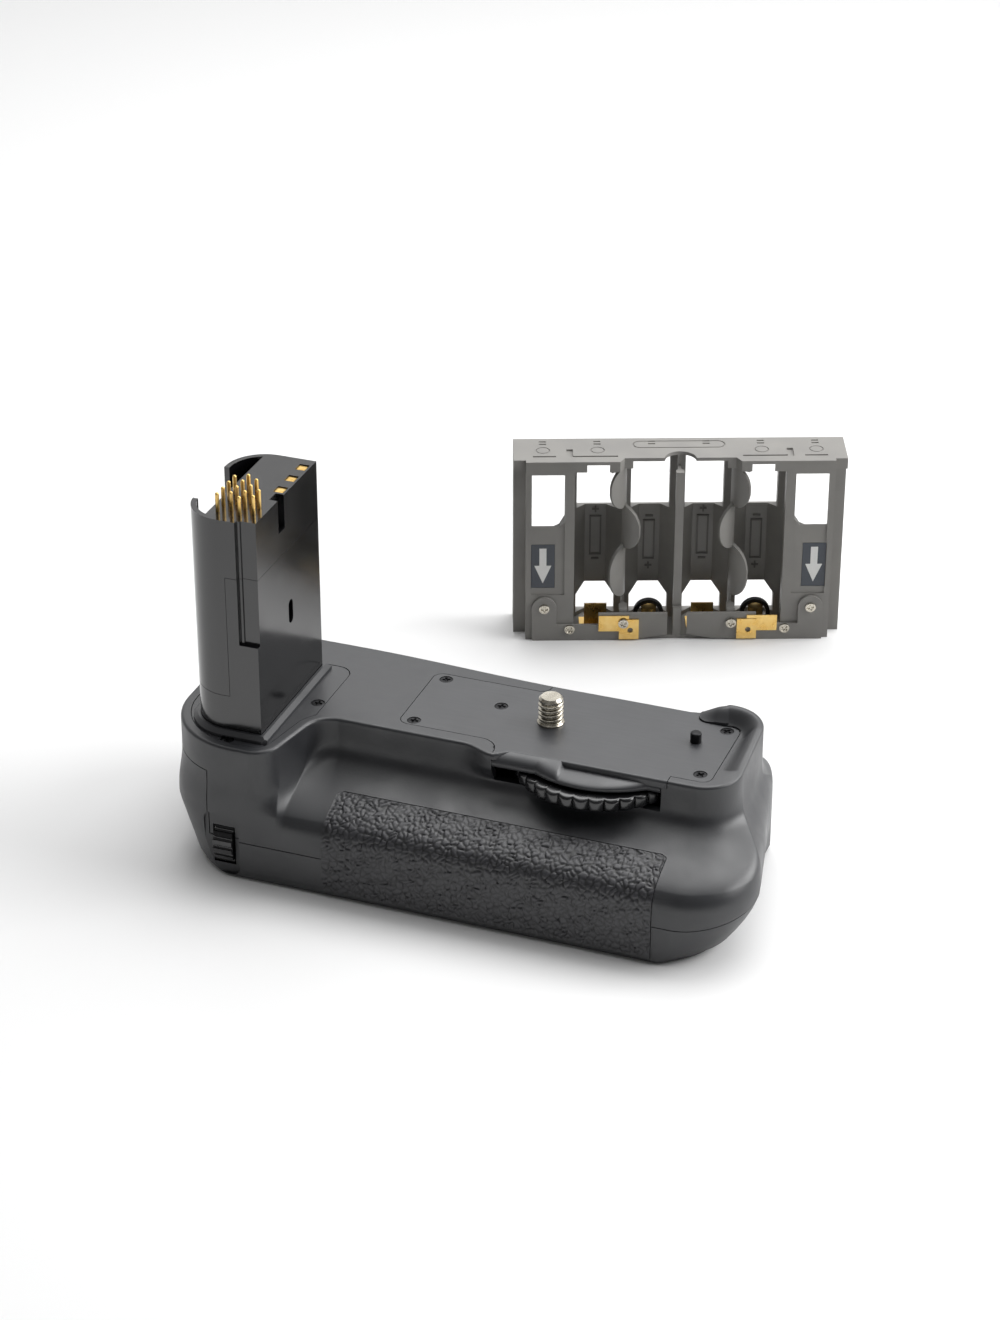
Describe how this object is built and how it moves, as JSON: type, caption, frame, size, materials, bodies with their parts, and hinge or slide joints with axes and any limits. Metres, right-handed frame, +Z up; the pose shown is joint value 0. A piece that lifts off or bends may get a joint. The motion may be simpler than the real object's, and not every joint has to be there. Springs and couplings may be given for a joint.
{
  "type": "camera battery grip",
  "caption": "Battery grip that screws under a camera, with a battery-shaped tower, a geared tightening wheel, a rear door and a separate cell tray.",
  "frame": {"origin": "on the floor under the grip, on the axis of the camera screw", "axes": "+X along the grip away from the tower, -Y to the front with the wheel, +Z up towards the camera"},
  "size_m": [0.1551, 0.191, 0.1025],
  "materials": {
    "housing": "fine matte grain",
    "grip_rubber": "pebbled",
    "deck_plate": "satin, scuffed",
    "tower": "gloss",
    "wheel": "gloss, ribbed",
    "controls": "satin",
    "nickel": "nickel plated",
    "black_steel": "blackened",
    "brass": "plated",
    "gold": "gold plated",
    "inner_plastic": "moulded",
    "circuit_board": "solder mask",
    "connector": "moulded",
    "flex": "polyimide film",
    "tray_plastic": "satin",
    "label": "printed film"
  },
  "bodies": {
    "grip": {"top_shell": "housing", "bottom_shell": "housing", "grip_rubber": "grip_rubber", "deck_plate": "deck_plate", "deck_screws": "black_steel", "wheel_axle": "nickel", "locating_pin": "black_steel", "tower_shell": "tower", "tower_cap": "tower", "pin_block": "inner_plastic", "signal_pins": "gold", "battery_contacts": "gold", "tower_collar": "housing", "collar_screws": "black_steel", "tower_board": "circuit_board", "main_board": "circuit_board", "board_connector": "connector", "board_chips": "inner_plastic", "board_screws": "nickel", "battery_chamber": "inner_plastic", "chamber_contacts": "gold", "power_flex": "flex", "hinge_pin": "nickel", "tripod_bushing": "nickel", "shell_screws": "black_steel", "sub_dial_axle": "nickel", "main_dial_axle": "nickel", "shutter_switch": "inner_plastic", "af_switch": "inner_plastic"},
    "wheel": {"thumb_wheel": "wheel"},
    "screw": {"camera_screw": "nickel", "screw_gear": "brass"},
    "sub_dial": {"sub_command_dial": "wheel"},
    "main_dial": {"main_command_dial": "wheel"},
    "lock_ring": {"shutter_lock": "controls"},
    "shutter": {"shutter_button": "controls"},
    "focus": {"af_button": "controls"},
    "door": {"battery_door": "housing"},
    "latch": {"door_latch": "controls"},
    "tray": {"tray_frame": "tray_plastic", "tray_rail": "tray_plastic", "tray_terminals": "gold", "cell_contacts": "gold", "contact_rings": "inner_plastic", "tray_screws": "nickel", "tray_labels": "label"}
  },
  "joints": [
    {"name": "wheel_spin", "type": "hinge", "parent": "grip", "child": "wheel", "pos_m": [0.01475, -0.00443, 0.032], "axis": [0, 0, 1], "continuous": true},
    {"name": "screw_spin", "type": "hinge", "parent": "grip", "child": "screw", "pos_m": [0, 0, 0.035], "axis": [0, 0, 1], "continuous": true},
    {"name": "sub_dial_spin", "type": "hinge", "parent": "grip", "child": "sub_dial", "pos_m": [-0.073, -0.0332, 0.0088], "axis": [1, 0, 0], "continuous": true},
    {"name": "main_dial_spin", "type": "hinge", "parent": "grip", "child": "main_dial", "pos_m": [-0.07, 0.0196, 0.0094], "axis": [1, 0, 0], "continuous": true},
    {"name": "lock_turn", "type": "hinge", "parent": "grip", "child": "lock_ring", "pos_m": [-0.08816, -0.006, 0.009], "axis": [-0.9498, 0, -0.3129], "range_deg": [0, 60]},
    {"name": "shutter_press", "type": "slide", "parent": "lock_ring", "child": "shutter", "axis": [0.9498, 0, 0.3129], "range_m": [0, 0.0014], "stiffness_N_per_m": 600, "springref_m": -0.0005},
    {"name": "focus_press", "type": "slide", "parent": "grip", "child": "focus", "axis": [0, -1, 0], "range_m": [0, 0.0008], "stiffness_N_per_m": 800, "springref_m": -0.0005},
    {"name": "door_swing", "type": "hinge", "parent": "grip", "child": "door", "pos_m": [0, 0.0243, 0.0021], "axis": [-1, 0, 0], "range_deg": [0, 90]},
    {"name": "latch_slide", "type": "slide", "parent": "door", "child": "latch", "axis": [-1, 0, 0], "range_m": [0, 0.004]},
    {"name": "tray_lift", "type": "slide", "parent": "grip", "child": "tray", "axis": [0, 0, 1], "range_m": [0, 0.08]}
  ],
  "couplings": [
    {"joint": "screw_spin", "follows": "wheel_spin", "ratio": -1}
  ]
}
